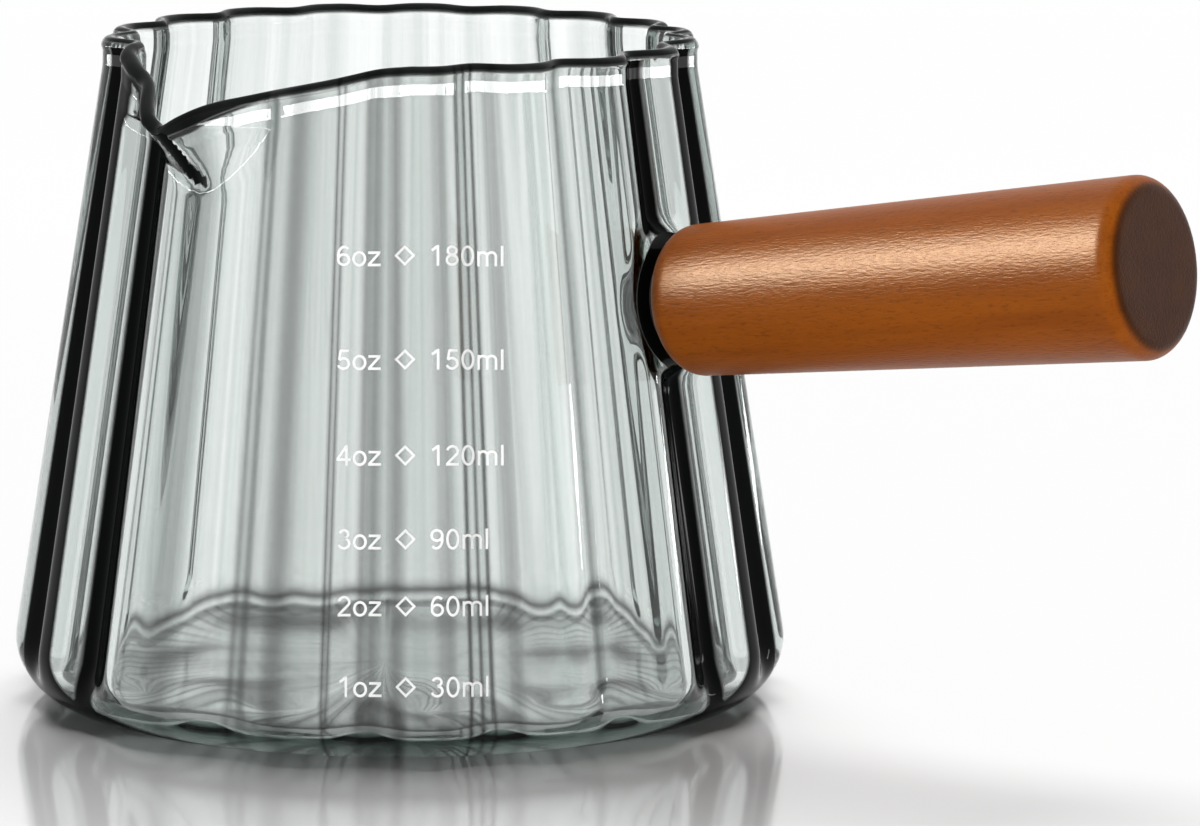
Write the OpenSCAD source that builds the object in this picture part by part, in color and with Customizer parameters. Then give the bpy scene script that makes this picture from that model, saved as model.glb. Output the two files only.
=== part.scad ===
// Fluted glass measuring cup with a pouring spout and a turned wooden side handle.
// Millimetres. The origin is the centre of the base underside, +Z is up and the handle points along +X.

/* [Cup] */
// Height of the rim above the table
cup_height = 70.5; // [62:0.5:84]
// Widest diameter, across the flute crests just above the base
base_d = 82; // [76:0.5:92]
// Diameter across the flute crests at the rim
rim_d = 61.9; // [56:0.1:68]
// Radius of the round corner between wall and base
corner_r = 6.5; // [5:0.1:8]
// Radius of the round between inner wall and inner floor
inner_corner_r = 2.5; // [1.5:0.1:4]
// Thickness of the wall
wall_t = 2; // [1.6:0.1:2.4]
// Thickness of the base
base_t = 3; // [2.2:0.1:4.5]
// How far the lip flares outward past its collar
lip_flare = 0.95; // [0:0.05:1.2]
// Height over which the lip flares
lip_height = 1.7; // [1.2:0.1:3]
// Height of the upright collar under the rim
collar_height = 3.1; // [2:0.1:6]
// How much steeper the collar stands than the wall, as a slope
collar_slope = 0.14; // [0:0.01:0.2]

/* [Flutes] */
// Number of flutes round the wall, with a crease under the handle
flute_count = 18; // [12:2:22]
// Turn of the flutes beyond the spout, as a share of one flute: the lobe under the spout is stretched
flute_shift = 0.5; // [0:0.05:0.5]
// Depth of a crease below the flute crests, outside
crease_depth = 2.4; // [1:0.1:3]
// Depth of a crease inside, where the blown glass is softer
inner_crease_depth = 1.9; // [0.8:0.1:2.4]
// How much narrower a crease is than a crest
crease_sharpness = 1.5; // [1:0.1:2.5]
// Share of the outer corner, from the base up, that stays free of flutes
flute_foot = 0.5; // [0:0.05:0.8]
// Share of the crease depth that is left at the edge of the inner floor
inner_foot_share = 0.4; // [0:0.05:1]

/* [Spout] */
// Direction of the spout, in degrees from the handle
spout_angle = -100; // [-130:10:-70]
// How far the spout's tip stands out past the flute crests
spout_reach = 3.4; // [1:0.1:5]
// How far the spout's tip lies below the rim
spout_dip = 6.8; // [3:0.1:9]
// Height of the spout's keel, from its foot on the wall to its tip
keel_height = 6.2; // [4:0.1:9]
// Half of the angle that the spout's beak takes up
beak_span = 17; // [14:1:26]
// How far the keel leans towards the scale at its foot, in degrees
keel_lean = 7; // [0:1:10]
// How sharply the keel is rounded, in degrees
keel_round = 1.5; // [0.5:0.1:3]
// Angle over which the rim slopes down to the spout, on the side of the scale
dip_span = 46; // [36:1:60]
// Angle over which the rim slopes down to the spout, on the far side
far_dip_span = 24; // [20:1:40]
// Part of the dip that lies in the narrow notch at the tip
notch_dip = 1.6; // [0.4:0.1:2.4]
// Half of the angle that the notch takes up
notch_span = 10; // [6:1:14]

/* [Handle] */
// Length of the wooden handle
handle_length = 56.5; // [40:0.5:80]
// Diameter of the handle at the cup
handle_root_d = 15.7; // [14.5:0.1:17]
// Diameter of the handle at its free end
handle_end_d = 18.5; // [14:0.1:22]
// Height at which the handle's axis meets the wall
handle_height = 44.9; // [40:0.1:47]
// Upward tilt of the handle, in degrees
handle_tilt = 8.4; // [4:0.2:12]
// Edge round at the cup end
root_round = 2.6; // [0.5:0.1:3]
// Edge round at the free end
end_round = 1.9; // [0.5:0.1:3]

/* [Handle fixing] */
// Diameter of the glass peg
stub_d = 8; // [6:0.1:9]
// Length of the peg, from the wall to its rounded tip
stub_length = 20; // [12:0.5:26]
// Radius of the flat land on the wall that carries the peg
land_r = 5.5; // [5.5:0.1:6.5]
// Width of the ring in which the land blends into the flutes
land_blend = 3; // [1.5:0.1:3]
// Gap between the land and the end of the handle, filled with adhesive
handle_gap = 0.8; // [0.4:0.1:1.4]
// Thickness of the adhesive between peg and bore
bond_t = 0.3; // [0.2:0.05:0.6]
// Clearance left at each bonded face
bond_clearance = 0.05; // [0.02:0.01:0.1]
// Free depth of the bore beyond the peg's tip
bore_relief = 1.5; // [0.5:0.1:4]

/* [Scale] */
// Direction of the scale, in degrees from the handle
scale_angle = -54; // [-58:0.5:-42]
// Heights of the marks for 1 to 6 oz
mark_heights = [8.4, 16.5, 23.2, 31.6, 41.2, 51.6];
// Width of a diamond mark across its corners
mark_w = 2.1; // [1.4:0.1:3]
// Width of the printed line
line_w = 0.24; // [0.15:0.01:0.4]
// Thickness of the enamel
enamel_t = 0.2; // [0.1:0.05:0.3]
// Clearance between the enamel and the curved wall
enamel_clearance = 0.1; // [0.05:0.01:0.2]

/* [Hidden] */
$fn = 64;

GLASS = [0.62, 0.68, 0.65, 0.45];
PEG = [0.50, 0.56, 0.53, 0.6];
WOOD = [0.66, 0.31, 0.08];
ADHESIVE = [0.10, 0.08, 0.07];
ENAMEL = [0.96, 0.97, 0.96];

// Stretches, in degrees clockwise from the handle, over which the flutes turn and turn back
TURN_START = 60;
TURN_END = 290;
TURN_LENGTH = 50;
// Curves of the rim, of the spout's edge and of the collar's foot
DIP_CURVE = 1.2;
BEAK_EDGE = 0.12;
COLLAR_EDGE = 0.25;

// Resolution of the blown surface
STEPS_PER_FLUTE = 8;
CORNER_ROWS = 4;
LIP_ROWS = 4;
LOWER_ROWS = 3;
UPPER_ROWS = 6;
INNER_ROWS = 4;
COLUMNS = flute_count * STEPS_PER_FLUTE;

// Wall: a cone through the crests, tangent to the corner round and ending at the rim
corner_axis_r = base_d / 2 - corner_r;
cone_dx = corner_axis_r - rim_d / 2;
cone_dz = cup_height - corner_r;
wall_angle = atan2(cone_dx, cone_dz) + asin(corner_r / norm([cone_dx, cone_dz]));
wall_foot_z = corner_r * (1 + sin(wall_angle));
wall_run = wall_t / cos(wall_angle);

// Inside of the corner
inner_axis_z = base_t + inner_corner_r;
inner_axis_r = crest_r(inner_axis_z) - wall_run - inner_corner_r / cos(wall_angle);
inner_foot_z = inner_axis_z + inner_corner_r * sin(wall_angle);

// Lip and spout heights
lip_r = wall_t / 2;
tip_z = cup_height - spout_dip;
keel_foot_z = tip_z - keel_height;

// Land for the peg, square to the handle's axis and level with the crests
land_x = crest_r(handle_height);
land_low_z = handle_height - land_r - land_blend;
land_high_z = handle_height + land_r + land_blend;

// Fits on the handle's axis, measured outward from the land
bore_r = stub_d / 2 + bond_t + 2 * bond_clearance;
bore_depth = stub_length - handle_gap + bore_relief;
stub_round = stub_d / 4;

// Blends and angles
function smooth(x) = let (t = min(1, max(0, x))) t * t * (3 - 2 * t);
function soft_floor(x, e) = x <= -e ? 0 : x >= e ? x : (x + e) * (x + e) / (4 * e);
function turned(a, b) = (a - b + 540) % 360 - 180;
function apart(a, b) = abs(turned(a, b));
function polar(theta, r, z) = [r * cos(theta), r * sin(theta), z];

// Outer cone through the crests, with the collar and the flare of the lip
function crest_r(z) = rim_d / 2 + (cup_height - z) * tan(wall_angle);
function flare(theta, z) =
    let (below = rim_z(theta) - z)
    lip_flare * pow(max(0, 1 - below / lip_height), 2)
    + collar_slope * soft_floor(collar_height - below, COLLAR_EDGE);

// Depth of the flutes at an angle, from 0 on a crest to 1 in a crease
function flute_turn(theta) =
    let (back = (720 - theta) % 360)
    flute_shift * 360 / flute_count
    * (smooth((back - TURN_START) / TURN_LENGTH) - smooth((back - TURN_END) / TURN_LENGTH));
function crease(theta) =
    pow((1 + cos(flute_count * (theta + flute_turn(theta)))) / 2, crease_sharpness);

// Share of the spout's beak at a point, 1 at its tip and 0 on the plain wall
function keel_rise(z) = min(1, (z - keel_foot_z) / keel_height);
function spout_off(theta) = norm([apart(theta, spout_angle), keel_round]) - keel_round;
function keel_off(theta, z) = spout_off(theta - keel_lean * (1 - keel_rise(z)));
function beak(theta, z) = min(1, soft_floor(keel_rise(z) - keel_off(theta, z) / beak_span, BEAK_EDGE));

// Height of the rim: a long slope down to the spout, with a narrow notch at its tip
function slope_span(theta) = turned(theta, spout_angle) > 0 ? dip_span : far_dip_span;
function rim_z(theta) =
    let (off = spout_off(theta))
    cup_height
    - (spout_dip - notch_dip) * pow(max(0, 1 - off / slope_span(theta)), DIP_CURVE)
    - notch_dip * pow(max(0, 1 - off / notch_span), 2);

// Blown wall before the land is formed
function fluted_r(theta, z, depth) =
    let (b = beak(theta, z))
    crest_r(z) + flare(theta, z) + spout_reach * b - depth * crease(theta) * (1 - b);

// Land: the wall is drawn out to a plane square to the handle round the handle's axis
function land_plane_r(theta, z) =
    (land_x - (z - handle_height) * tan(handle_tilt)) / cos(theta);
function land_share(theta, z) =
    apart(theta, 0) > 60 ? 0
    : smooth((land_r + land_blend - norm([land_x * sin(theta), z - handle_height])) / land_blend);
function outer_r(theta, z) =
    let (plain = fluted_r(theta, z, crease_depth), share = land_share(theta, z))
    share == 0 ? plain : plain + share * (land_plane_r(theta, z) - plain);
function inner_wall_r(theta, z) = fluted_r(theta, z, inner_crease_depth) - wall_run;

// Rings of points, from the base underside over the lip to the inner floor
function angle_of(i) = 360 * i / COLUMNS;
function ring(r_of, z_of) = [for (i = [0:COLUMNS - 1]) let (a = angle_of(i)) polar(a, r_of(a), z_of(a))];
corner_angles = concat([for (k = [0:CORNER_ROWS]) -90 + 90 * k / CORNER_ROWS], [wall_angle]);
function corner_rings(axis_r, axis_z, r, depth_at) = [
    for (a = corner_angles)
        let (depth = depth_at((a + 90) / (wall_angle + 90)))
        ring(
            function(theta) axis_r + r * cos(a) - depth * crease(theta),
            function(theta) axis_z + r * sin(a)
        )
];
function outer_depth(t) = crease_depth * smooth((t - flute_foot) / (1 - flute_foot));
function inner_depth(t) = inner_crease_depth * (inner_foot_share + (1 - inner_foot_share) * smooth(t));
function wall_rings(r_of, low_z, high_z, shares) = [
    for (s = shares) ring(
        function(theta) r_of(theta, low_z + s * (high_z(theta) - low_z)),
        function(theta) low_z + s * (high_z(theta) - low_z)
    )
];
function steps(n) = [for (k = [1:n]) k / n];
function closing_steps(n) = [for (k = [1:n]) 1 - pow(1 - k / n, 1.5)];
function lip_base_z(theta) = rim_z(theta) - lip_r;
lip_rings = [
    for (k = [1:LIP_ROWS - 1])
        let (a = 180 * k / LIP_ROWS)
        ring(
            function(theta)
                let (
                    z = lip_base_z(theta),
                    r_out = outer_r(theta, z),
                    r_in = inner_wall_r(theta, z)
                )
                (r_out + r_in) / 2 + cos(a) * (r_out - r_in) / 2,
            function(theta) lip_base_z(theta) + lip_r * sin(a)
        )
];
outer_rings = concat(
    corner_rings(corner_axis_r, corner_r, corner_r, function(t) outer_depth(t)),
    wall_rings(
        function(theta, z) outer_r(theta, z), wall_foot_z, function(theta) land_low_z, steps(LOWER_ROWS)
    ),
    [
        for (z = [handle_height - land_r, handle_height, handle_height + land_r, land_high_z])
            ring(function(theta) outer_r(theta, z), function(theta) z)
    ],
    wall_rings(
        function(theta, z) outer_r(theta, z), land_high_z, function(theta) lip_base_z(theta),
        closing_steps(UPPER_ROWS)
    )
);
inner_rings = concat(
    corner_rings(inner_axis_r, inner_axis_z, inner_corner_r, function(t) inner_depth(t)),
    wall_rings(
        function(theta, z) inner_wall_r(theta, z), inner_foot_z, function(theta) land_high_z,
        steps(INNER_ROWS)
    ),
    wall_rings(
        function(theta, z) inner_wall_r(theta, z), land_high_z, function(theta) lip_base_z(theta),
        closing_steps(UPPER_ROWS)
    )
);

module glass_body() {
    rings = concat(outer_rings, lip_rings, [for (k = [len(inner_rings) - 1:-1:0]) inner_rings[k]]);
    last = len(rings) - 1;
    base_centre = len(rings) * COLUMNS;
    floor_centre = base_centre + 1;
    points = concat([for (r = rings) each r], [[0, 0, 0], [0, 0, base_t]]);
    faces = concat(
        [
            for (k = [0:last - 1], i = [0:COLUMNS - 1])
                let (
                    j = (i + 1) % COLUMNS,
                    a = k * COLUMNS + i,
                    b = k * COLUMNS + j,
                    c = (k + 1) * COLUMNS + j,
                    d = (k + 1) * COLUMNS + i
                )
                each [[a, c, b], [a, d, c]]
        ],
        [for (i = [0:COLUMNS - 1]) [base_centre, i, (i + 1) % COLUMNS]],
        [for (i = [0:COLUMNS - 1]) [floor_centre, last * COLUMNS + (i + 1) % COLUMNS, last * COLUMNS + i]]
    );
    color(GLASS) polyhedron(points, faces, convexity = 8);
}

// Places a child, built along +Z, on the handle's axis with its zero at the land
module on_handle_axis() {
    translate([land_x, 0, handle_height]) rotate([0, 90 - handle_tilt, 0]) children();
}

function arc_points(x, y, r, from, to, n = 6) =
    [for (k = [0:n]) let (a = from + (to - from) * k / n) [x + r * cos(a), y + r * sin(a)]];

module handle_stub() {
    outline = concat(
        [[0, bond_clearance], [stub_d / 2, bond_clearance]],
        arc_points(stub_d / 2 - stub_round, stub_length - stub_round, stub_round, 0, 90),
        [[0, stub_length]]
    );
    color(PEG) on_handle_axis() rotate_extrude() polygon(outline);
}

module bond_sleeve() {
    inside = stub_d / 2 + bond_clearance;
    outside = inside + bond_t;
    collar = handle_root_d / 2 - root_round;
    straight = stub_length - stub_round;
    low = bond_clearance;
    high = handle_gap - bond_clearance;
    outline = [
        [inside, low], [min(collar, land_r), low], [collar, high], [outside, high],
        [outside, straight], [inside, straight]
    ];
    color(ADHESIVE) on_handle_axis() rotate_extrude() polygon(outline);
}

module wood_handle() {
    root = handle_root_d / 2;
    end = handle_end_d / 2;
    outline = concat(
        [[bore_r, handle_gap]],
        arc_points(root - root_round, handle_gap + root_round, root_round, -90, 0),
        arc_points(end - end_round, handle_gap + handle_length - end_round, end_round, 0, 90),
        [
            [0, handle_gap + handle_length],
            [0, handle_gap + bore_depth],
            [bore_r, handle_gap + bore_depth]
        ]
    );
    color(WOOD) on_handle_axis() rotate_extrude() polygon(outline);
}

// One diamond outline of enamel, lying on the wall at the height of its volume
module scale_mark(k) {
    z = mark_heights[k];
    r = outer_r(scale_angle, z);
    turn = atan2(outer_r(scale_angle + 1, z) - outer_r(scale_angle - 1, z), 2 * r * PI / 180);
    side = mark_w / sqrt(2);
    color(ENAMEL)
        translate(polar(scale_angle, r, z))
            rotate([0, 0, scale_angle - turn])
                rotate([0, 90 - wall_angle, 0])
                    translate([0, 0, enamel_clearance])
                        linear_extrude(enamel_t)
                            rotate(45)
                                difference() {
                                    square(side, center = true);
                                    square(side - 2 * line_w, center = true);
                                }
}

glass_body();
handle_stub();
bond_sleeve();
wood_handle();
for (k = [0:len(mark_heights) - 1])
    scale_mark(k);
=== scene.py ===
import math

import bmesh
import bpy
import numpy as np
from mathutils import Matrix, Vector


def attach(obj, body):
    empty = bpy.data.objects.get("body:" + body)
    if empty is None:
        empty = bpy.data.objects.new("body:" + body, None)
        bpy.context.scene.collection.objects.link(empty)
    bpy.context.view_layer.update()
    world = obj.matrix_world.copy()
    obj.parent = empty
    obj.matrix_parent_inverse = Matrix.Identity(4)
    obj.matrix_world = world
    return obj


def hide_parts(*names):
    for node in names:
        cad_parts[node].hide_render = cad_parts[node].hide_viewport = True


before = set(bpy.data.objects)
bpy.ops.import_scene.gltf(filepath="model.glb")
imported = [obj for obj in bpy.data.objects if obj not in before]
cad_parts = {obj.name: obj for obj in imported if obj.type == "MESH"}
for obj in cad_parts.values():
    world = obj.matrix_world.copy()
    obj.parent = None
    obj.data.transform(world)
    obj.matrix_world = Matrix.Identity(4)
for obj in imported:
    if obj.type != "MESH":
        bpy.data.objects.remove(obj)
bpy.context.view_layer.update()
MM = 0.001

# How far the smooth surfaces lie inside the facets of the solids
FACET_INSET = 0.04

# Sizes of the cup in millimetres, as in the solids
CUP_HEIGHT = 70.5
BASE_D = 82.0
RIM_D = 61.9
CORNER_R = 6.5
INNER_CORNER_R = 2.5
WALL_T = 2.0
BASE_T = 3.0
LIP_FLARE = 0.95
LIP_HEIGHT = 1.7
COLLAR_HEIGHT = 3.1
COLLAR_SLOPE = 0.14
COLLAR_EDGE = 0.25
FLUTE_COUNT = 18
FLUTE_SHIFT = 0.5
CREASE_DEPTH = 2.4
INNER_CREASE_DEPTH = 1.9
CREASE_SHARPNESS = 1.5
FLUTE_FOOT = 0.5
INNER_FOOT_SHARE = 0.4
SPOUT_ANGLE = -100.0
SPOUT_REACH = 3.4
SPOUT_DIP = 6.8
KEEL_HEIGHT = 6.2
BEAK_SPAN = 17.0
KEEL_LEAN = 7.0
KEEL_ROUND = 1.5
DIP_SPAN = 46.0
FAR_DIP_SPAN = 24.0
NOTCH_DIP = 1.6
NOTCH_SPAN = 10.0
DIP_CURVE = 1.2
BEAK_EDGE = 0.12

# Stretches, in degrees clockwise from the handle, over which the flutes turn and turn back
TURN_START = 60.0
TURN_END = 290.0
TURN_LENGTH = 50.0

# Sizes of the handle and of the flat land that carries it
HANDLE_LENGTH = 56.5
HANDLE_ROOT_D = 15.7
HANDLE_END_D = 18.5
HANDLE_HEIGHT = 44.9
HANDLE_TILT = 8.4
ROOT_ROUND = 2.6
END_ROUND = 1.9
HANDLE_GAP = 0.8
LAND_R = 5.5
LAND_BLEND = 3.0
LAND_SECTOR = 60.0
LEAST_LAND_COS = 0.3
BORE_R = 4.4
BORE_SHOWN = 6.0

# Rows and points of the cup's mesh
POINTS_PER_FLUTE = 32
UNDERSIDE_STEPS = (0.25, 0.5, 0.75, 0.9)
CORNER_ROWS = 18
WALL_ROWS = 66
COLLAR_START = 0.93
COLLAR_ROWS = 40
LIP_ROWS = 14
INNER_CORNER_ROWS = 16
BASE_ROWS = 24

# Rows and points of the handle's mesh
ROOT_ROWS = 14
SIDE_ROWS = 40
END_ROWS = 12
END_FACE_STEPS = (0.75, 0.5, 0.25)
HANDLE_POINTS = 128

# Painted streaks in the glass: painted shade lines and, where the share is negative, painted highlights,
# which stand in
# for the refraction in the flutes: angle from the handle, half of the width and share of light kept away,
# where a negative share lets more light through
PAINTED_STREAKS = (
    (-142.0, 6.0, 0.4),
    (-93.8, 1.6, 0.5),
    (-87.5, 3.2, -0.4),
    (-81.4, 0.7, 0.6),
    (-79.1, 0.9, 0.6),
    (-73.8, 2.0, 0.6),
    (-66.25, 0.3, 0.95),
    (-61.2, 0.7, 0.6),
    (-59.2, 1.6, 0.5),
    (-55.3, 1.2, 0.62),
    (-48.3, 1.2, 0.4),
    (-47.2, 0.5, 0.4),
    (-44.375, 0.3, 0.95),
    (-42.5, 0.3, 0.8),
    (-40.625, 0.3, 0.95),
    (-36.7, 0.9, 0.6),
    (-28.0, 3.5, -0.3),
    (-23.3, 1.0, 0.5),
)

# Painted shade along the lip: a dark line, and stretches where it is deeper or, with a minus sign,
# shallower:
# angle, half of the width and added depth
RIM_LINE = 0.95
RIM_EDGE = 0.25
RIM_SHADE = 0.98
RIM_MARKS = (
    (-145.0, 16.0, -0.55),
    (-111.0, 8.0, 1.5),
    (-94.0, 6.0, 1.0),
    (35.0, 18.0, -0.55),
)

# Painted shade line around the inner corner, as shares of the way up it and of the light
CORNER_LINE = 0.45
CORNER_LINE_W = 0.24
CORNER_LINE_SHADE = 0.98

# Painted shade on the inner base, a dark ring of patches and fine rays, as shares of its radius and of the
# light
RING_MIDDLE = 0.68
RING_W = 0.17
RING_SHADE = 0.85
RING_WAVES = ((0.07, 5, 1.0), (0.04, 11, 0.0))
PATCH_COUNT = 7
PATCH_START = 2.0
PATCH_MEAN = 0.55
PATCH_SWING = 0.45
RAY_COUNT = 58
RAY_SWAY = 2
RAY_SWAY_COUNT = 5
RAY_SHADE = 0.8
RAY_START = 0.5
RAY_RISE = 0.3

# Painted shade on the peg's land and along the spout's keel, stored with the depth of the creases
LAND_SHADE = 2.0
KEEL_SHADE = 1.5
KEEL_MARK_ANGLE = 2.0
KEEL_MARK_LIFT = 1.0
KEEL_MARK_FADE = 1.2
KEEL_MARK_REACH = 1.2
KEEL_MARK_EDGE = 0.5

# Where the glass is painted dark: start and end of each smooth step
NEAR_SLANT = (0.945, 1.105)
NEAR_AROUND = (0.775, 0.695)
FAR_DEPTH = (1.29, 1.41)
FAR_AROUND = (0.41, 0.45)
MARK_DEPTH = (1.02, 1.2)
MARK_AROUND = (0.11, 0.25)
OUTSIDE_STEP = (0.4, 0.6)

# Weight of the turn from the eye beside the depth of a crease, and the least level part of a line of sight
FAR_TURN = 1.05
LEAST_LEVEL_SQUARED = 0.04

# Printed scale
SCALE_ANGLE = -54.0
MARK_HEIGHTS = (8.4, 16.5, 23.2, 31.6, 41.2, 51.6)
LINE_ML = 30
MARK_W = 2.1
LINE_W = 0.24
DIGIT_H = 2.06
OUNCE_START = -7.0
LITRE_START = 2.4
PRINT_LIFT = 0.03
PRINT_T = 0.06
PRINT_DROP = 0.167
LONGEST_EDGE = 0.45
SPLIT_ROUNDS = 3
FIT_ROUNDS = 12

# The photograph's camera, in the object's frame
PHOTO_W = 1200
CAMERA_AZIMUTH = 35.25
CAMERA_DISTANCE = 763.9
CAMERA_HEIGHT = 154.84
CAMERA_PITCH = 9.285
CAMERA_FOCAL_PX = 7279.0
CUP_AXIS_PX = 400.5
SENSOR_W = 36.0
CLIP_START = 0.01

# Light of the floor where it is seen through glass, and of the surroundings on rough surfaces
FLOOR_GLOW = 0.4
AMBIENT = 0.12

# Overhead sun: its way to the photograph's right and away for each step down, its spread and strength
SUN_RIGHT = -0.05
SUN_AWAY = -0.48
SUN_ANGLE = 45
SUN_STRENGTH = 3.08

# Studio in metres, with angles in degrees to the right of the photograph's front and up
FLOOR_SIZE = 12.0
CARD_R = 0.3
CARD_H = 0.037
CARD_START = -130
CARD_END = 100
CARD_POINTS = 70
LAMP_DISTANCE = 1.2
KEY_AZIMUTH = -75
KEY_ELEVATION = 33
KEY_AIM = (0.04, 0, 0.045)
KEY_SIZE = (0.32, 0.36)
KEY_POWER = 110.0
FILL_AZIMUTH = 4
FILL_ELEVATION = 12
FILL_AIM = (0, 0, 0.04)
FILL_SIZE = (0.5, 0.5)
FILL_POWER = 11.0
STRIP_AZIMUTHS = (-90, -45, 0, 45, 90)
STRIP_DISTANCE = 0.6
STRIP_Z = 0.018
STRIP_SIZE = (0.6, 0.02)
STRIP_POWER = 0.52

# Derived sizes of the wall
corner_axis_r = BASE_D / 2 - CORNER_R
cone_dx = corner_axis_r - RIM_D / 2
cone_dz = CUP_HEIGHT - CORNER_R
wall_angle = math.atan2(cone_dx, cone_dz) + math.asin(CORNER_R / math.hypot(cone_dx, cone_dz))
wall_foot_z = CORNER_R * (1 + math.sin(wall_angle))
wall_run = WALL_T / math.cos(wall_angle)


def crest_r(z):
    """Radius of the outer wall on the crests of the flutes."""
    return RIM_D / 2 + (CUP_HEIGHT - z) * math.tan(wall_angle)


# Derived sizes of the inside, the spout and the handle
inner_axis_z = BASE_T + INNER_CORNER_R
inner_axis_r = crest_r(inner_axis_z) - wall_run - INNER_CORNER_R / math.cos(wall_angle)
inner_foot_z = inner_axis_z + INNER_CORNER_R * math.sin(wall_angle)
tip_z = CUP_HEIGHT - SPOUT_DIP
keel_foot_z = tip_z - KEEL_HEIGHT
land_x = crest_r(HANDLE_HEIGHT)
handle_far = HANDLE_GAP + HANDLE_LENGTH - FACET_INSET


def smooth(x):
    """Smooth step from 0 to 1."""
    t = np.clip(x, 0, 1)
    return t * t * (3 - 2 * t)


def soft_floor(x, e):
    """The larger of x and 0, rounded over within e of zero."""
    return np.where(x <= -e, 0, np.where(x >= e, x, (x + e) ** 2 / (4 * e)))


def turned(a, b):
    """Angle from b to a, from -180 to 180 degrees."""
    return (a - b + 540) % 360 - 180


def apart(a, b):
    return np.abs(turned(a, b))


def spout_off(theta):
    """Angle from the spout, rounded off at its keel."""
    return np.sqrt(apart(theta, SPOUT_ANGLE) ** 2 + KEEL_ROUND**2) - KEEL_ROUND


def rim_z(theta):
    """Height of the rim: a long slope down to the spout, with a narrow notch at its tip."""
    off = spout_off(theta)
    span = np.where(turned(theta, SPOUT_ANGLE) > 0, DIP_SPAN, FAR_DIP_SPAN)
    slope = (SPOUT_DIP - NOTCH_DIP) * np.maximum(0, 1 - off / span) ** DIP_CURVE
    notch = NOTCH_DIP * np.maximum(0, 1 - off / NOTCH_SPAN) ** 2
    return CUP_HEIGHT - slope - notch


def flute_turn(theta):
    """How far the flutes are turned back by the lobe that was stretched into the spout."""
    back = (-theta) % 360
    share = smooth((back - TURN_START) / TURN_LENGTH) - smooth((back - TURN_END) / TURN_LENGTH)
    return FLUTE_SHIFT * 360 / FLUTE_COUNT * share


def crease(theta, sharpness=CREASE_SHARPNESS):
    """Depth of the flutes at an angle, from 0 on a crest to 1 in a crease."""
    return ((1 + np.cos(np.radians(FLUTE_COUNT * (theta + flute_turn(theta))))) / 2) ** sharpness


def keel_rise(z):
    """Height on the keel, from 0 at its foot to 1 at the spout's tip."""
    return np.minimum(1, (z - keel_foot_z) / KEEL_HEIGHT)


def on_keel(theta, z):
    """Angle moved by the lean of the keel, so that the keel lies at the spout's angle."""
    return theta - KEEL_LEAN * (1 - keel_rise(z))


def beak(theta, z):
    """Share of the spout's reach, highest at its tip."""
    off = spout_off(on_keel(theta, z))
    return np.minimum(1, soft_floor(keel_rise(z) - off / BEAK_SPAN, BEAK_EDGE))


def flare(theta, z):
    """How far the collar and the lip stand out from the wall."""
    below = rim_z(theta) - z
    lip = LIP_FLARE * np.maximum(0, 1 - below / LIP_HEIGHT) ** 2
    return lip + COLLAR_SLOPE * soft_floor(COLLAR_HEIGHT - below, COLLAR_EDGE)


def fluted_r(theta, z, depth):
    """Radius of the wall with creases of that depth, which run out into the spout."""
    share = beak(theta, z)
    return crest_r(z) + flare(theta, z) + SPOUT_REACH * share - depth * crease(theta) * (1 - share)


def land_share(theta, z):
    """1 on the flat land under the handle, blended to 0 around it."""
    reach = np.hypot(land_x * np.sin(np.radians(theta)), z - HANDLE_HEIGHT)
    return np.where(apart(theta, 0) > LAND_SECTOR, 0, smooth((LAND_R + LAND_BLEND - reach) / LAND_BLEND))


def outer_r(theta, z):
    """Radius of the outer wall, flattened to the land under the handle."""
    plain = fluted_r(theta, z, CREASE_DEPTH)
    land_plane = land_x - (z - HANDLE_HEIGHT) * math.tan(math.radians(HANDLE_TILT))
    flat = land_plane / np.maximum(LEAST_LAND_COS, np.cos(np.radians(theta)))
    return plain + land_share(theta, z) * (flat - plain)


def inner_wall_r(theta, z):
    return fluted_r(theta, z, INNER_CREASE_DEPTH) - wall_run


def polar(theta, r, z):
    rad = np.radians(theta)
    return np.stack([r * np.cos(rad), r * np.sin(rad), z + 0 * rad], axis=-1)


def inset_ring(theta, r, z):
    return polar(theta, r - FACET_INSET, z)


def corner_ring(theta, t, axis_r, axis_z, radius, depth):
    """Ring on a round corner, from its foot at 0 to the wall at 1."""
    a = -math.pi / 2 + t * (math.pi / 2 + wall_angle)
    r = axis_r + radius * math.cos(a) - depth * crease(theta)
    return inset_ring(theta, r, axis_z + radius * math.sin(a))


def outer_corner_ring(theta, t):
    depth = CREASE_DEPTH * float(smooth((t - FLUTE_FOOT) / (1 - FLUTE_FOOT)))
    return corner_ring(theta, t, corner_axis_r, CORNER_R, CORNER_R, depth)


def inner_corner_depth(t):
    return INNER_CREASE_DEPTH * (INNER_FOOT_SHARE + (1 - INNER_FOOT_SHARE) * float(smooth(t)))


def inner_corner_ring(theta, t):
    return corner_ring(theta, t, inner_axis_r, inner_axis_z, INNER_CORNER_R, inner_corner_depth(t))


def wall_ring(theta, s, r_of, low_z):
    """Ring on a wall, from low_z at 0 to the start of the lip's round at 1."""
    z = low_z + s * (rim_z(theta) - WALL_T / 2 - low_z)
    return inset_ring(theta, r_of(theta, z), z)


def lip_ring(theta, t):
    """Ring on the lip's round, from the outer wall at 0 to the inner wall at 1."""
    z = rim_z(theta) - WALL_T / 2
    r_out, r_in = outer_r(theta, z), inner_wall_r(theta, z)
    a = math.pi * t
    r = (r_out + r_in) / 2 + math.cos(a) * (r_out - r_in) / 2
    return inset_ring(theta, r, z + WALL_T / 2 * math.sin(a))


def new_mesh_object(name, verts, faces):
    mesh = bpy.data.meshes.new(name)
    mesh.from_pydata([tuple(v) for v in verts], [], faces)
    mesh.update()
    mesh.polygons.foreach_set("use_smooth", [True] * len(mesh.polygons))
    piece = bpy.data.objects.new(name, mesh)
    bpy.context.scene.collection.objects.link(piece)
    return piece


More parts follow.
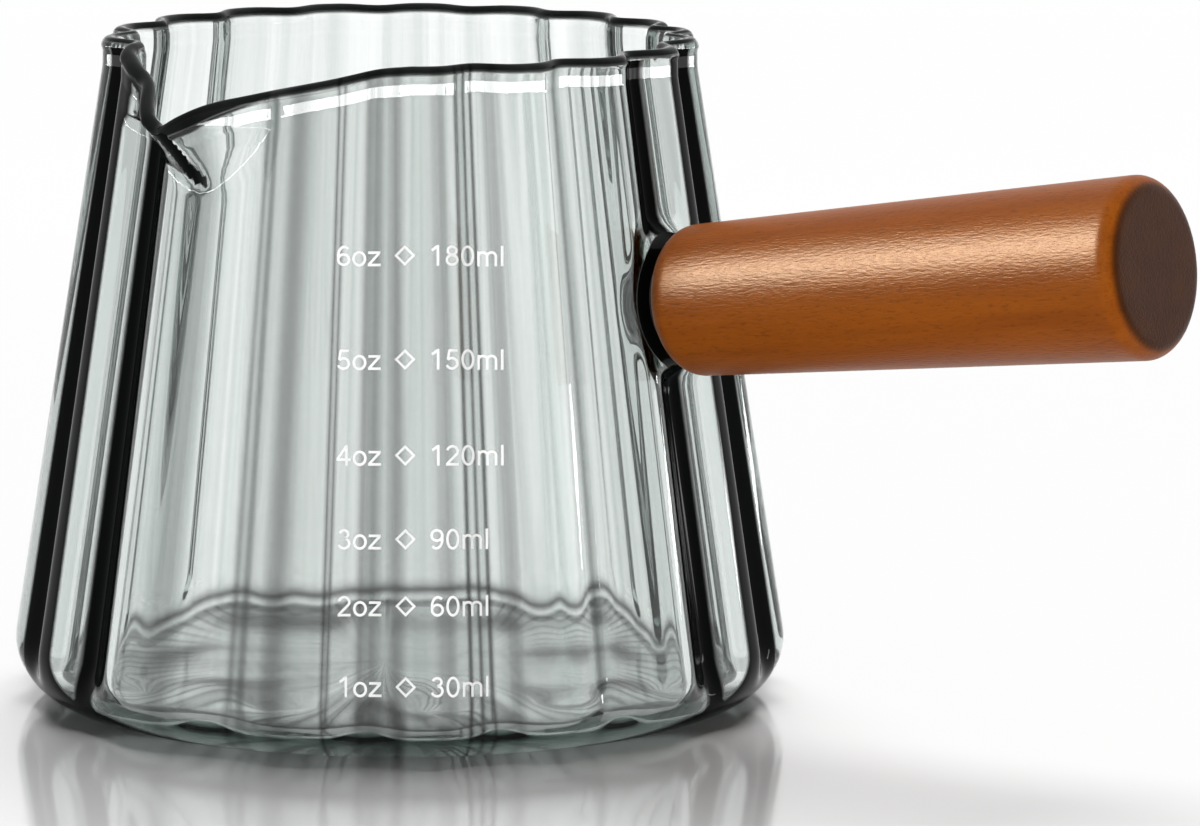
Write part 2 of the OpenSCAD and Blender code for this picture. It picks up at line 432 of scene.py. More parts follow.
def add_attribute(piece, name, kind, field, values):
    layer = piece.data.attributes.new(name, kind, "POINT")
    layer.data.foreach_set(field, np.asarray(values, dtype=float).ravel())


def add_ring_values(piece, name, rows, end):
    """Stores one number per point, ring by ring, and one for both closing points."""
    add_attribute(piece, name, "FLOAT", "value", np.append(rows, (end, end)))


def lofted(name, rings, closed_start, closed_end):
    """A tube through rings of equal length, with a point at each closed end."""
    n = len(rings[0])
    verts = [p for ring in rings for p in ring]
    faces = []
    for k in range(len(rings) - 1):
        for i in range(n):
            j = (i + 1) % n
            faces.append((k * n + i, k * n + j, (k + 1) * n + j, (k + 1) * n + i))
    for centre, row, flip in ((closed_start, 0, True), (closed_end, len(rings) - 1, False)):
        verts.append(centre)
        tip = len(verts) - 1
        for i in range(n):
            j = (i + 1) % n
            a, b = row * n + i, row * n + j
            faces.append((tip, b, a) if flip else (tip, a, b))
    return new_mesh_object(name, np.array(verts) * MM, faces)


def furrow_depth(theta, points):
    """Share of a crease at points of the outer wall, with the painted shade of the peg's land and the
    spout's keel added.
    """
    z = points[:, 2]
    aside = apart(on_keel(theta, z), SPOUT_ANGLE) / KEEL_MARK_ANGLE
    beyond = np.maximum(0, keel_foot_z + KEEL_MARK_LIFT - z) / KEEL_MARK_FADE
    keel = smooth((KEEL_MARK_REACH - np.hypot(aside, beyond)) / KEEL_MARK_EDGE)
    marks = np.maximum(LAND_SHADE * land_share(theta, z), KEEL_SHADE * keel)
    return np.maximum(crease(theta, 1.0), marks)


def rim_shade(theta, points):
    """Painted shade of the line along the lip, which is deeper next to the spout."""
    depth = np.full_like(theta, RIM_LINE)
    for centre, half_width, extra in RIM_MARKS:
        depth += extra * np.exp(-((turned(theta, centre) / half_width) ** 2))
    return smooth((points[:, 2] - rim_z(theta) + depth) / RIM_EDGE)


def painted_streak_light(theta):
    """Share of light that the painted streaks let through at an angle: painted shade below 1, painted
    highlight above it.
    """
    tint = np.ones_like(theta)
    for centre, half_width, share in PAINTED_STREAKS:
        tint *= 1 - share * np.exp(-((turned(theta, centre) / half_width) ** 2))
    return tint


def corner_painted_shade(t):
    """Share of light kept by the painted shade line around the inner corner."""
    return 1 - CORNER_LINE_SHADE * math.exp(-(((t - CORNER_LINE) / CORNER_LINE_W) ** 2))


def base_painted_rays(theta, share):
    """Share of light kept on the inner base by the painted shade of fine rays near its edge."""
    rad = np.radians(theta)
    rays = (0.5 + 0.5 * np.sin(RAY_COUNT * rad + RAY_SWAY * np.sin(RAY_SWAY_COUNT * rad))) ** 2
    return 1 - RAY_SHADE * smooth((share - RAY_START) / RAY_RISE) * rays


def base_ring(theta, share):
    """Painted shade of the wavy ring of patches on the inner base."""
    rad = np.radians(theta)
    middle = RING_MIDDLE
    for reach, count, start in RING_WAVES:
        middle = middle + reach * np.sin(count * rad + start)
    patches = np.clip(PATCH_MEAN + PATCH_SWING * np.sin(PATCH_COUNT * rad + PATCH_START), 0, 1)
    return RING_SHADE * patches * np.exp(-(((share - middle) / RING_W) ** 2))


def build_cup():
    """The cup's skin in rings: up the outside, over the lip and down to the middle of the inner base."""
    theta = np.linspace(0, 360, FLUTE_COUNT * POINTS_PER_FLUTE, endpoint=False)
    corner_steps = np.linspace(0, 1, CORNER_ROWS)
    low_steps = np.linspace(0, COLLAR_START, WALL_ROWS)[1:]
    high_steps = np.linspace(COLLAR_START, 1, COLLAR_ROWS)[1:]
    wall_steps = np.append(low_steps, high_steps)
    inner_steps = np.linspace(1, 0, INNER_CORNER_ROWS)
    base_steps = np.linspace(1, 0, BASE_ROWS)[1:-1]
    base_edge_r = inner_axis_r - inner_corner_depth(0) * crease(theta)

    underside = [polar(theta, corner_axis_r * s, 0.0) for s in UNDERSIDE_STEPS]
    corner = [outer_corner_ring(theta, t) for t in corner_steps]
    wall = [wall_ring(theta, s, outer_r, wall_foot_z) for s in wall_steps]
    lip = [lip_ring(theta, t) for t in np.linspace(0, 1, LIP_ROWS)[1:]]
    inner_wall = [wall_ring(theta, s, inner_wall_r, inner_foot_z) for s in wall_steps[::-1][1:]]
    inner_corner = [inner_corner_ring(theta, t) for t in inner_steps]
    base = [polar(theta, base_edge_r * s, BASE_T) for s in base_steps]
    above_base = underside + corner + wall + lip + inner_wall + inner_corner
    rings = above_base + base
    cup = lofted("cup_glass", rings, (0, 0, 0), (0, 0, BASE_T))

    plain = np.zeros_like(theta)
    under = [plain] * len(underside)
    inside = [plain] * len(lip + inner_wall + inner_corner + base)
    foot = [crease(theta, 1.0) * float(smooth(t / FLUTE_FOOT)) for t in corner_steps]
    side = [furrow_depth(theta, ring) for ring in wall]
    # The furrow carries the painted shade of the land and the keel besides the creases
    add_ring_values(cup, "furrow", under + foot + side + inside, 0)
    # Painted shade along the lip and in the base's patches
    lines = [rim_shade(theta, ring) for ring in above_base]
    patches = [base_ring(theta, s) for s in base_steps]
    add_ring_values(cup, "rim", lines + patches, 0)
    add_ring_values(cup, "outer", under + [plain + 1] * len(corner + wall) + inside, 0)
    # Painted streaks of shade and highlight, with the painted corner line and base rays
    tint = painted_streak_light(theta)
    walls = [tint] * len(underside + corner + wall + lip + inner_wall)
    corner_line = [tint * corner_painted_shade(t) for t in inner_steps]
    rays = [tint * base_painted_rays(theta, s) for s in base_steps]
    add_ring_values(cup, "painted_streak_share", walls + corner_line + rays, 1)
    around = np.tile(polar(theta, 1.0, 0.0), (len(rings), 1))
    add_attribute(cup, "drawn", "FLOAT_VECTOR", "vector", np.vstack([around, np.eye(3)[:2]]))
    return cup


def handle_axis_matrix():
    """Places a piece built along +Z, in millimetres, on the handle's axis with its zero at the land."""
    turn = Matrix.Rotation(math.radians(90 - HANDLE_TILT), 4, "Y")
    return Matrix.Translation(Vector((land_x, 0, HANDLE_HEIGHT)) * MM) @ turn


def round_points(x, y, r, start, end, n):
    return [
        (x + r * math.cos(math.radians(a)), y + r * math.sin(math.radians(a)))
        for a in np.linspace(start, end, n)
    ]


def handle_outline():
    """Radius and height along the handle's outline, from inside the bore to near the end's middle."""
    root, end = HANDLE_ROOT_D / 2, HANDLE_END_D / 2
    side_start = HANDLE_GAP + ROOT_ROUND
    side_length = HANDLE_LENGTH - ROOT_ROUND - END_ROUND
    outline = [(BORE_R, HANDLE_GAP + BORE_SHOWN), (BORE_R, HANDLE_GAP)]
    outline += round_points(root - ROOT_ROUND, side_start, ROOT_ROUND, -90, 0, ROOT_ROWS)
    for s in np.linspace(0, 1, SIDE_ROWS)[1:-1]:
        outline.append((root + (end - root) * s, side_start + side_length * s))
    outline += round_points(end - END_ROUND, handle_far - END_ROUND, END_ROUND, 0, 90, END_ROWS)
    outline += [((end - END_ROUND) * s, handle_far) for s in END_FACE_STEPS]
    return outline


def build_handle():
    """The turned handle, which keeps its place along the grain for the wood's figure."""
    angles = np.linspace(0, 2 * math.pi, HANDLE_POINTS, endpoint=False)
    around = np.stack([np.cos(angles), np.sin(angles)], -1)
    rings = [np.column_stack([r * around, h + 0 * angles]) for r, h in handle_outline()]
    handle = lofted("turned_handle", rings, (0, 0, HANDLE_GAP + BORE_SHOWN), (0, 0, handle_far))
    mesh = handle.data
    local = np.empty(len(mesh.vertices) * 3)
    mesh.vertices.foreach_get("co", local)
    add_attribute(handle, "grain", "FLOAT_VECTOR", "vector", local / MM)
    mesh.transform(handle_axis_matrix())
    return handle


def arc(x, y, half_w, half_h, start, end):
    """Points of an upright ellipse's arc, about 12 degrees apart."""
    turns = np.radians(np.linspace(start, end, 4 + int(abs(end - start) / 12)))
    return [(x + half_w * math.cos(a), y + half_h * math.sin(a)) for a in turns]


def turned_over(paths):
    return [[(DIGIT_ADVANCE - x, 1 - y) for x, y in path] for path in paths]


# Pen strokes of the letters and how far each letter moves on, in units of the digits' height
PEN_W = 0.125
DIGIT_ADVANCE = 0.777
ADVANCE = {"z": 0.698, "m": 1.164, "l": 0.31}
GLYPHS = {
    "0": [arc(0.387, 0.5, 0.266, 0.447, 0, 360)],
    "1": [[(0.458, 0), (0.458, 1)], [(0.155, 0.75), (0.29, 0.83), (0.40, 0.94)]],
    "2": [arc(0.385, 0.70, 0.255, 0.238, 170, -35) + [(0.13, 0.10)], [(0.06, 0.062), (0.70, 0.062)]],
    "3": [arc(0.375, 0.745, 0.215, 0.193, 165, -90), arc(0.38, 0.305, 0.26, 0.243, 90, -165)],
    "4": [[(0.515, 0), (0.515, 1)], [(0.03, 0.30), (0.72, 0.30)], [(0.49, 0.95), (0.075, 0.33)]],
    "5": [
        [(0.65, 0.938), (0.21, 0.938)],
        [(0.24, 0.94), (0.165, 0.48)],
        arc(0.37, 0.315, 0.27, 0.253, 140, -160),
    ],
    "6": [arc(0.395, 0.315, 0.265, 0.253, 0, 360), arc(0.43, 0.5, 0.30, 0.438, 190, 50)],
    "8": [arc(0.388, 0.74, 0.215, 0.198, 0, 360), arc(0.388, 0.29, 0.265, 0.228, 0, 360)],
    "o": [arc(0.387, 0.362, 0.281, 0.316, 0, 360)],
    "z": [[(0.05, 0.662), (0.645, 0.662)], [(0.03, 0.062), (0.665, 0.062)], [(0.58, 0.62), (0.10, 0.10)]],
    "m": [
        [(0.154, 0), (0.154, 0.724)],
        [(0.582, 0), (0.582, 0.49)],
        [(1.01, 0), (1.01, 0.49)],
        arc(0.368, 0.49, 0.214, 0.188, 180, 0),
        arc(0.796, 0.49, 0.214, 0.188, 180, 0),
    ],
    "l": [[(0.155, 0), (0.155, 1)]],
}
GLYPHS["9"] = turned_over(GLYPHS["6"])


def ribbon(path, width):
    """Points and faces of a pen stroke along a path, which is a ring where its ends meet."""
    line = np.array(path, dtype=float)
    is_ring = np.allclose(line[0], line[-1])
    if is_ring:
        line = line[:-1]
        ahead = np.roll(line, -1, 0) - np.roll(line, 1, 0)
    else:
        ahead = np.gradient(line, axis=0)
    ahead /= np.linalg.norm(ahead, axis=1)[:, None]
    side = np.stack([-ahead[:, 1], ahead[:, 0]], -1) * width / 2
    n = len(line)
    faces = [(k, k + n, (k + 1) % n + n, (k + 1) % n) for k in range(n if is_ring else n - 1)]
    return np.concatenate([line + side, line - side]), faces


def word_outline(word, height):
    """Pen strokes of a word, with digits of that height and its left end at zero."""
    points, faces, x = [], [], 0.0
    for letter in word:
        for path in GLYPHS[letter]:
            stroke, quads = ribbon(path, PEN_W)
            faces += [tuple(i + len(points) for i in quad) for quad in quads]
            points += [(px + x, py) for px, py in stroke]
        x += ADVANCE.get(letter, DIGIT_ADVANCE)
    return np.array(points) * height, faces


def diamond_outline(width, line):
    """Points and faces of a square frame that stands on its corner."""
    out, inside = width / 2, width / 2 - line * math.sqrt(2)
    corners = [(1, 0), (0, 1), (-1, 0), (0, -1)]
    points = np.array([(x * reach, y * reach) for reach in (out, inside) for x, y in corners])
    faces = [(k, (k + 1) % 4, 4 + (k + 1) % 4, 4 + k) for k in range(4)]
    return points, faces


def line_outlines(k):
    """Flat outlines of one line of the scale: ounces, a diamond and millilitres."""
    ounce, ounce_faces = word_outline(f"{k + 1}oz", DIGIT_H)
    litre, litre_faces = word_outline(f"{(k + 1) * LINE_ML}ml", DIGIT_H)
    return [
        (ounce + [OUNCE_START, -DIGIT_H / 2], ounce_faces),
        diamond_outline(MARK_W, LINE_W),
        (litre + [LITRE_START, -DIGIT_H / 2], litre_faces),
    ]


def wall_point(x, z):
    """Point on the wall beside the scale's middle, lowered so that a line looks level from the front."""
    front_r = float(outer_r(np.array(SCALE_ANGLE), np.array(z)))
    theta, level = SCALE_ANGLE, z
    for _ in range(FIT_ROUNDS):
        r = float(outer_r(np.array(theta), np.array(level)))
        aside = math.asin(x / r)
        theta = SCALE_ANGLE + math.degrees(aside)
        level = z - PRINT_DROP * (front_r - r * math.cos(aside))
    rad = math.radians(theta)
    return Vector((r * math.cos(rad), r * math.sin(rad), level))


def split_long_edges(bm):
    for _ in range(SPLIT_ROUNDS):
        long_edges = [e for e in bm.edges if e.calc_length() > LONGEST_EDGE]
        if long_edges:
            bmesh.ops.subdivide_edges(bm, edges=long_edges, cuts=1)
            bmesh.ops.triangulate(bm, faces=bm.faces[:])


def print_line(k):
    """One line of the scale, laid on the wall and raised by the thickness of the print."""
    bm = bmesh.new()
    for points, faces in line_outlines(k):
        made = [bm.verts.new((x, y, 0)) for x, y in points]
        for face in faces:
            bm.faces.new([made[i] for i in face])
    bmesh.ops.triangulate(bm, faces=bm.faces[:])
    split_long_edges(bm)
    front = math.radians(SCALE_ANGLE)
    outward = Vector((math.cos(front), math.sin(front), 0))
    for v in bm.verts:
        v.co = wall_point(v.co.x, MARK_HEIGHTS[k] + v.co.y) + outward * PRINT_LIFT
    raised = bmesh.ops.extrude_face_region(bm, geom=bm.faces[:])
    for v in [g for g in raised["geom"] if isinstance(g, bmesh.types.BMVert)]:
        v.co += outward * PRINT_T
    bmesh.ops.recalc_face_normals(bm, faces=bm.faces[:])
    mesh = bpy.data.meshes.new(f"scale_line_{k + 1}oz")
    bm.to_mesh(mesh)
    bm.free()
    mesh.transform(Matrix.Scale(MM, 4))
    piece = bpy.data.objects.new(mesh.name, mesh)
    bpy.context.scene.collection.objects.link(piece)
    return piece


def set_inputs(node, **inputs):
    """Sets plain values on a node's sockets, where an underscore in a name stands for a space."""
    for name, value in inputs.items():
        node.inputs[name.replace("_", " ")].default_value = value


class Nodes:
    """Small helper that adds and links the nodes of one tree. A source is a node and its socket."""

    # Sockets of a colour mix
    MIX_FACTOR = 0
    MIX_A = 6
    MIX_B = 7
    MIX_RESULT = 2

    def __init__(self, tree):
        self.nodes = tree.nodes
        self.links = tree.links

    def add(self, kind, **inputs):
        node = self.nodes.new(kind)
        set_inputs(node, **inputs)
        return node

    def link(self, source, out, target, socket):
        self.links.new(source.outputs[out], target.inputs[socket])

    def attribute(self, name):
        node = self.nodes.new("ShaderNodeAttribute")
        node.attribute_name = name
        return node

    def math(self, operation, *values):
        """A calculation on numbers and sources."""
        node = self.nodes.new("ShaderNodeMath")
        node.operation = operation
        for k, value in enumerate(values):
            if isinstance(value, tuple):
                self.link(*value, node, k)
            else:
                node.inputs[k].default_value = value
        return node

    def ramp(self, value, start, end):
        """A smooth step from 0 at start to 1 at end, as a source."""
        node = self.nodes.new("ShaderNodeMapRange")
        node.interpolation_type = "SMOOTHSTEP"
        rising = start < end
        set_inputs(node, From_Min=min(start, end), From_Max=max(start, end))
        set_inputs(node, To_Min=0.0 if rising else 1.0, To_Max=1.0 if rising else 0.0)
        self.link(*value, node, "Value")
        return node, "Result"

    def tone(self, value, low, high, start=0.0, end=1.0):
        """A colour that goes from low to high while a value goes from start to end."""
        node = self.nodes.new("ShaderNodeValToRGB")
        first, last = node.color_ramp.elements
        first.position, last.position = start, end
        first.color = (*low, 1)
        last.color = (*high, 1)
        self.link(*value, node, "Fac")
        return node

    def scaled(self, colour, factor):
        node = self.nodes.new("ShaderNodeVectorMath")
        node.operation = "SCALE"
        self.link(*colour, node, 0)
        self.link(*factor, node, "Scale")
        return node

    def stretched_noise(self, attribute, scale, detail):
        stretch = self.add("ShaderNodeMapping", Scale=scale)
        self.link(attribute, "Vector", stretch, "Vector")
        noise = self.add("ShaderNodeTexNoise", Scale=1.0, Detail=detail, Roughness=0.6)
        self.link(stretch, "Vector", noise, "Vector")
        return noise

    def level_share(self):
        """Level part of the line of sight, kept off zero for a look from straight above."""
        upright = self.add("ShaderNodeCombineXYZ", Z=1.0)
        above = self.add("ShaderNodeLayerWeight", Blend=0.5)
        self.link(upright, "Vector", above, "Normal")
        rise = self.math("SUBTRACT", 1.0, (above, "Facing"))
        rise_squared = self.math("MULTIPLY", (rise, 0), (rise, 0))
        level_squared = self.math("SUBTRACT", 1.0, (rise_squared, 0))
        kept = self.math("MAXIMUM", (level_squared, 0), LEAST_LEVEL_SQUARED)
        return self.math("SQRT", (kept, 0))

    def turned_away(self, level, normal=None):
        """How far a normal is turned from the level line of sight, from 0 to 1."""
        weight = self.add("ShaderNodeLayerWeight", Blend=0.5)
        if normal:
            self.link(normal, "Vector", weight, "Normal")
        towards_eye = self.math("SUBTRACT", 1.0, (weight, "Facing"))
        share = self.math("DIVIDE", (towards_eye, 0), (level, 0))
        return self.math("SUBTRACT", 1.0, (share, 0))


class Shader(Nodes):
    """The nodes of a new material."""

    def __init__(self, name):
        self.material = bpy.data.materials.new(name)
        self.material.use_nodes = True
        super().__init__(self.material.node_tree)
        self.bsdf = self.nodes["Principled BSDF"]
        self.output = self.nodes["Material Output"]


def glass_darkness(s):
    """Painted shade of the glass: flanks seen aslant, deep creases and marks, the lip and the base's
    patches.
    """
    furrow = s.attribute("furrow")
    level = s.level_share()
    around = s.turned_away(level, s.attribute("drawn"))
    slant = s.turned_away(level)
    aslant = s.math("ADD", (slant, 0), (around, 0))
    near = s.math("MULTIPLY", s.ramp((aslant, 0), *NEAR_SLANT), s.ramp((around, 0), *NEAR_AROUND))
    deep = s.math("MULTIPLY_ADD", (around, 0), FAR_TURN, (furrow, "Fac"))
    far = s.math("MULTIPLY", s.ramp((deep, 0), *FAR_DEPTH), s.ramp((around, 0), *FAR_AROUND))
    flank = s.math("ADD", (near, 0), (far, 0))
    flank.use_clamp = True
    geometry = s.add("ShaderNodeNewGeometry")
    outside = s.math("SUBTRACT", (s.attribute("outer"), "Fac"), (geometry, "Backfacing"))
    on_flank = s.math("MULTIPLY", (flank, 0), s.ramp((outside, 0), *OUTSIDE_STEP))
    # Painted shade on the peg's land and along the spout's keel
    mark = s.math("MULTIPLY", s.ramp((furrow, "Fac"), *MARK_DEPTH), s.ramp((around, 0), *MARK_AROUND))
    dark = s.math("MAXIMUM", (on_flank, 0), (mark, 0))
    # Painted shade along the lip and in the base's patches
    rim = s.math("MULTIPLY", (s.attribute("rim"), "Fac"), RIM_SHADE)
    return s.math("MAXIMUM", (dark, 0), (rim, 0))


def glass_material():
    """Smoke-tinted glass with painted streaks of shade and highlight along the flutes, which is painted
    near-black and lets no light through where its painted shade goes dark.
    """
    s = Shader("smoke_glass")
    set_inputs(s.bsdf, Roughness=0.0, IOR=1.47, Specular_IOR_Level=0.03)
    clear = s.math("SUBTRACT", 1.0, (glass_darkness(s), 0))
    s.link(clear, 0, s.bsdf, "Transmission Weight")
    noise = s.add("ShaderNodeTexNoise", Scale=14.0, Detail=3.0, Roughness=0.55)
    s.link(s.attribute("drawn"), "Vector", noise, "Vector")
    tint = s.tone((noise, "Fac"), (0.66, 0.69, 0.68), (0.87, 0.88, 0.875), 0.35, 0.6)
    # Painted streaks of shade and highlight on the glass's own tint
    tint_with_painted_streaks = s.scaled((tint, "Color"), (s.attribute("painted_streak_share"), "Fac"))
    # Near-black painted shade where the glass goes dark
    smoke = s.add("ShaderNodeMix")
    smoke.data_type = "RGBA"
    smoke.inputs[s.MIX_A].default_value = (0.004, 0.006, 0.005, 1)
    s.link(clear, 0, smoke, s.MIX_FACTOR)
    s.link(tint_with_painted_streaks, 0, smoke, s.MIX_B)
    s.link(smoke, s.MIX_RESULT, s.bsdf, "Base Color")
    absorb = s.add("ShaderNodeVolumeAbsorption", Color=(0.467, 0.54, 0.513, 1), Density=155.0)
    s.link(absorb, "Volume", s.output, "Volume")
    return s.material


def wood_material():
    """Stained wood under a satin lacquer: broad figure, fine pores along the grain and a darker end face,
    darkened for its end grain and with painted shade.
    """
    s = Shader("stained_wood")
    grain = s.attribute("grain")
    figure = s.stretched_noise(grain, (0.30, 0.30, 0.025), 5.0)
    pores = s.stretched_noise(grain, (4.0, 4.0, 0.9), 3.0)
    stain = s.tone((figure, "Fac"), (0.19, 0.0425, 0.003), (0.28, 0.07, 0.0047), 0.3, 0.7)
    pore_shade = s.add("ShaderNodeMapRange", From_Min=0.30, From_Max=0.46, To_Min=0.72, To_Max=1.02)
    s.link(pores, "Fac", pore_shade, "Value")
    along = s.add("ShaderNodeSeparateXYZ")
    s.link(grain, "Vector", along, "Vector")
    # The end face is darker: end grain that takes more stain, with painted shade besides
    end_z = HANDLE_GAP + HANDLE_LENGTH
    off_end = s.ramp((along, "Z"), end_z - 0.1, end_z - 0.6)
    end_shade = s.math("MULTIPLY_ADD", off_end, 0.83, 0.17)
    shade = s.math("MULTIPLY", (pore_shade, "Result"), (end_shade, 0))
    stained = s.scaled((stain, "Color"), (shade, 0))
    s.link(stained, 0, s.bsdf, "Base Color")
    relief = s.add("ShaderNodeBump", Strength=0.6, Distance=0.0001)
    s.link(pores, "Fac", relief, "Height")
    s.link(relief, "Normal", s.bsdf, "Normal")
    set_inputs(s.bsdf, Roughness=0.38, Specular_IOR_Level=0.12, Specular_Tint=(1.0, 0.68, 0.4, 1))
    return s.material


def speckled(name, scale, low, high):
    """A material whose colour varies finely between two tones."""
    s = Shader(name)
    noise = s.add("ShaderNodeTexNoise", Scale=scale, Detail=2.0)
    s.link(s.add("ShaderNodeTexCoord"), "Object", noise, "Vector")
    s.link(s.tone((noise, "Fac"), low, high), "Color", s.bsdf, "Base Color")
    return s


def peg_material():
    """Plain smoke glass of the peg inside the handle."""
    s = speckled("peg_glass", 200.0, (0.42, 0.46, 0.44), (0.52, 0.57, 0.55))
    set_inputs(s.bsdf, Transmission_Weight=1.0, Roughness=0.05, IOR=1.47)
    return s.material


def enamel_material():
    """Fired white print."""
    s = speckled("white_enamel", 900.0, (0.90, 0.91, 0.90), (1, 1, 1))
    set_inputs(s.bsdf, Roughness=0.4)
    return s.material


def adhesive_material():
    """Cured dark adhesive around the peg."""
    s = speckled("adhesive", 400.0, (0.03, 0.025, 0.02), (0.06, 0.05, 0.04))
    set_inputs(s.bsdf, Roughness=0.5)
    return s.material


def floor_material():
    """White glossy floor, which glows a little where it is seen through the glass."""
    s = Shader("floor")
    set_inputs(s.bsdf, Base_Color=(0.97, 0.97, 0.97, 1), Roughness=0.11, IOR=1.5)
    set_inputs(s.bsdf, Coat_Weight=0.4, Coat_IOR=1.6, Coat_Roughness=0.08)
    set_inputs(s.bsdf, Emission_Color=(1, 1, 1, 1))
    path = s.add("ShaderNodeLightPath")
    glow = s.math("MULTIPLY", (path, "Is Transmission Ray"), FLOOR_GLOW)
    s.link(glow, 0, s.bsdf, "Emission Strength")
    return s.material


def card_material():
    """White seen from the cup's side, and clear from the other."""
    s = Shader("card")
    set_inputs(s.bsdf, Base_Color=(0, 0, 0, 1), Specular_IOR_Level=0.0)
    set_inputs(s.bsdf, Emission_Color=(1, 1, 1, 1), Emission_Strength=1.0)
    one_sided = s.add("ShaderNodeMixShader")
    s.link(s.add("ShaderNodeNewGeometry"), "Backfacing", one_sided, 0)
    s.link(s.bsdf, 0, one_sided, 1)
    s.link(s.add("ShaderNodeBsdfTransparent"), 0, one_sided, 2)
    s.link(one_sided, 0, s.output, "Surface")
    return s.material


def background_share(s):
    """1 for camera, glossy and transmission rays, which see the white studio, until a diffuse bounce."""
    path = s.add("ShaderNodeLightPath")
    mirrored = s.math("MAXIMUM", (path, "Is Glossy Ray"), (path, "Is Transmission Ray"))
    seen = s.math("MAXIMUM", (path, "Is Camera Ray"), (mirrored, 0))
    unscattered = s.math("LESS_THAN", (path, "Diffuse Depth"), 0.5)
    return s.math("MULTIPLY", (seen, 0), (unscattered, 0))


def build_world():
    """White surroundings that add only a little light of their own."""
    world = bpy.data.worlds.new("studio")
    bpy.context.scene.world = world
    world.use_nodes = True
    s = Nodes(world.node_tree)
    ground = s.nodes["Background"]
    set_inputs(ground, Color=(1, 1, 1, 1))
    strength = s.add("ShaderNodeMapRange", To_Min=AMBIENT, To_Max=1.0)
    s.link(background_share(s), 0, strength, "Value")
    s.link(strength, "Result", ground, "Strength")


def view_axes():
    """The photograph's right and away directions in plan."""
    a = math.radians(CAMERA_AZIMUTH)
    return Vector((math.cos(a), math.sin(a), 0)), Vector((-math.sin(a), math.cos(a), 0))


def towards(azimuth, elevation, distance):
    """Point at that distance, to the right of the photograph's front and up, both in degrees."""
    right, away = view_axes()
    a, e = math.radians(azimuth), math.radians(elevation)
    level = right * math.sin(a) - away * math.cos(a)
    return (level * math.cos(e) + Vector((0, 0, math.sin(e)))) * distance


def build_camera():
    right, away = view_axes()
    pitch = math.radians(CAMERA_PITCH)
    forward = away * math.cos(pitch) - Vector((0, 0, 1)) * math.sin(pitch)
    up = right.cross(forward)
    turn = math.atan((PHOTO_W / 2 - CUP_AXIS_PX) / CAMERA_FOCAL_PX)
    aim = forward * math.cos(turn) + right * math.sin(turn)
    side = aim.cross(up)
    camera = bpy.data.cameras.new("camera")
    camera.sensor_width = SENSOR_W
    camera.lens = CAMERA_FOCAL_PX * SENSOR_W / PHOTO_W
    camera.clip_start = CLIP_START
    holder = bpy.data.objects.new("camera", camera)
    basis = Matrix((side, up, -aim)).transposed().to_4x4()
    place = -away * CAMERA_DISTANCE + Vector((0, 0, CAMERA_HEIGHT))
    holder.matrix_world = Matrix.Translation(place * MM) @ basis
    bpy.context.scene.collection.objects.link(holder)
    bpy.context.scene.camera = holder


def build_floor():
    bpy.ops.mesh.primitive_plane_add(size=FLOOR_SIZE)
    floor = bpy.context.object
    floor.name = "floor"
    return floor


def build_card():
    """A low curved card before the cup, seen by reflections alone, which hides the strips from the foot."""
    foot = [towards(a, 0, CARD_R) for a in np.linspace(CARD_START, CARD_END, CARD_POINTS)]
    top = [p + Vector((0, 0, CARD_H)) for p in foot]
    n = len(foot)
    faces = [(k + n, k + 1 + n, k + 1, k) for k in range(n - 1)]
    card = new_mesh_object("card", foot + top, faces)
    card.visible_camera = False
    card.visible_diffuse = False
    card.visible_transmission = False
    card.visible_shadow = False
    return card


def light_only(lamp, pieces):
    """Lets a lamp fall on these pieces alone."""
    lit = bpy.data.collections.new(f"lit_by_{lamp.name}")
    for piece in pieces:
        lit.objects.link(piece)
    lamp.light_linking.receiver_collection = lit


def aimed_lamp(lamp, direction):
    """Places a lamp that shines that way and isn't seen through glass."""
    holder = bpy.data.objects.new(lamp.name, lamp)
    holder.rotation_mode = "QUATERNION"
    holder.rotation_quaternion = direction.to_track_quat("-Z", "Y")
    holder.visible_transmission = False
    bpy.context.scene.collection.objects.link(holder)
    return holder


def add_area(name, place, aim, size, power):
    """A rectangular lamp at a place, which the camera doesn't see."""
    lamp = bpy.data.lights.new(name, "AREA")
    lamp.shape = "RECTANGLE"
    lamp.size, lamp.size_y = size
    lamp.energy = power
    holder = aimed_lamp(lamp, Vector(aim) - place)
    holder.location = place
    holder.visible_camera = False
    return holder


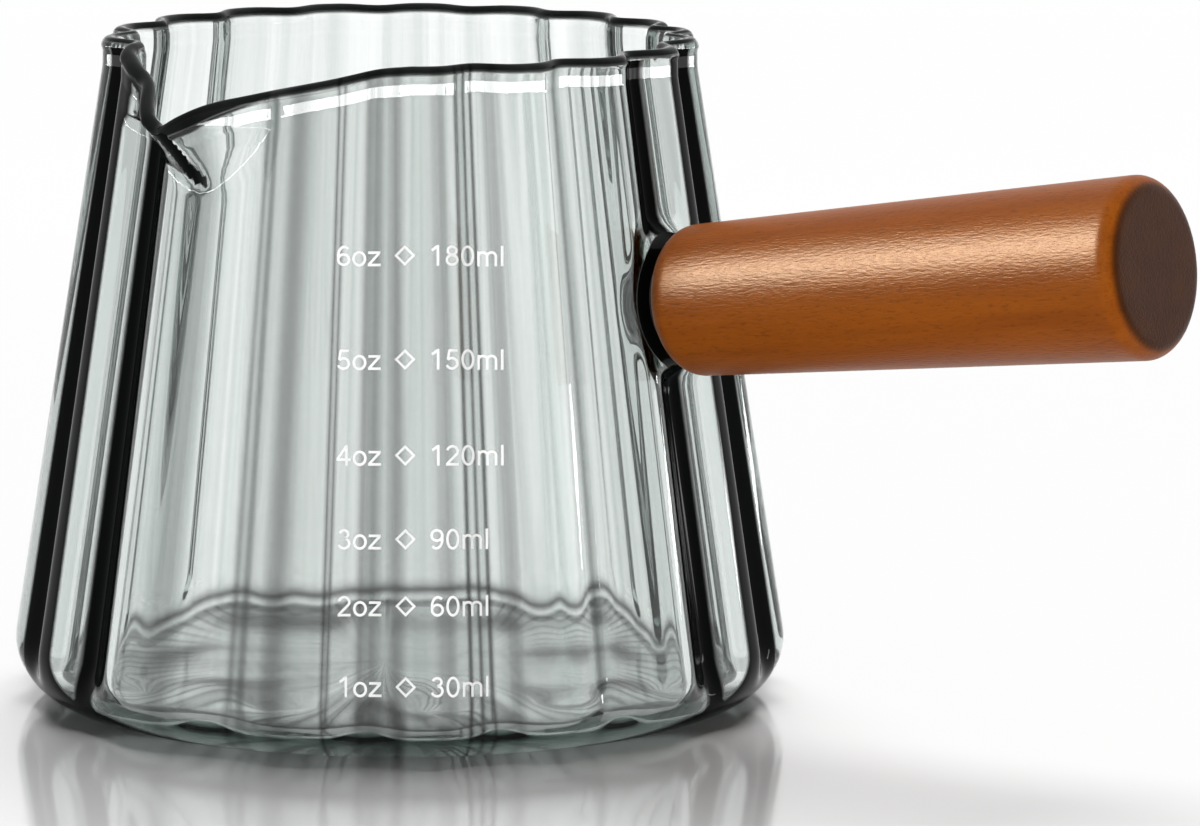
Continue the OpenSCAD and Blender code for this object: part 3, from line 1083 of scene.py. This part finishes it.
def build_sun():
    """Broad overhead light from behind, which throws the soft shadow on the floor."""
    right, away = view_axes()
    lamp = bpy.data.lights.new("overhead", "SUN")
    lamp.angle = math.radians(SUN_ANGLE)
    lamp.energy = SUN_STRENGTH
    holder = aimed_lamp(lamp, right * SUN_RIGHT + away * SUN_AWAY - Vector((0, 0, 1)))
    holder.visible_glossy = False


def build_key(handle):
    """Softbox that makes the long highlight on the handle."""
    place = towards(KEY_AZIMUTH, KEY_ELEVATION, LAMP_DISTANCE)
    key = add_area("left_softbox", place, KEY_AIM, KEY_SIZE, KEY_POWER)
    key.visible_diffuse = False
    light_only(key, [handle])


def build_fill(pieces):
    """Weak front light for the printed scale and the handle."""
    place = towards(FILL_AZIMUTH, FILL_ELEVATION, LAMP_DISTANCE)
    fill = add_area("front_fill", place, FILL_AIM, FILL_SIZE, FILL_POWER)
    fill.visible_glossy = False
    light_only(fill, pieces)


def build_strips(cup):
    """Low strips around the front half, which put highlights into the glass."""
    for azimuth in STRIP_AZIMUTHS:
        place = towards(azimuth, 0, STRIP_DISTANCE) + Vector((0, 0, STRIP_Z))
        strip = add_area(f"low_strip_{azimuth + 90}", place, (0, 0, STRIP_Z), STRIP_SIZE, STRIP_POWER)
        strip.visible_diffuse = False
        light_only(strip, [cup])


def paint(piece, material):
    piece.data.materials.clear()
    piece.data.materials.append(material)


build_camera()
bpy.context.scene.view_settings.view_transform = "Standard"

cup = build_cup()
paint(cup, glass_material())
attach(cup, "root")
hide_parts("glass_body")

handle = build_handle()
paint(handle, wood_material())
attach(handle, "root")
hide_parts("wood_handle")

enamel = enamel_material()
scale_lines = []
for k in range(len(MARK_HEIGHTS)):
    line = print_line(k)
    scale_lines.append(line)
    paint(line, enamel)
    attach(line, "root")
    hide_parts(f"mark_{k + 1}oz")

paint(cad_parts["handle_stub"], peg_material())
paint(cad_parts["bond_sleeve"], adhesive_material())

floor = build_floor()
paint(floor, floor_material())

card = build_card()
paint(card, card_material())

build_world()
build_sun()
build_key(handle)
build_fill([handle] + scale_lines)
build_strips(cup)
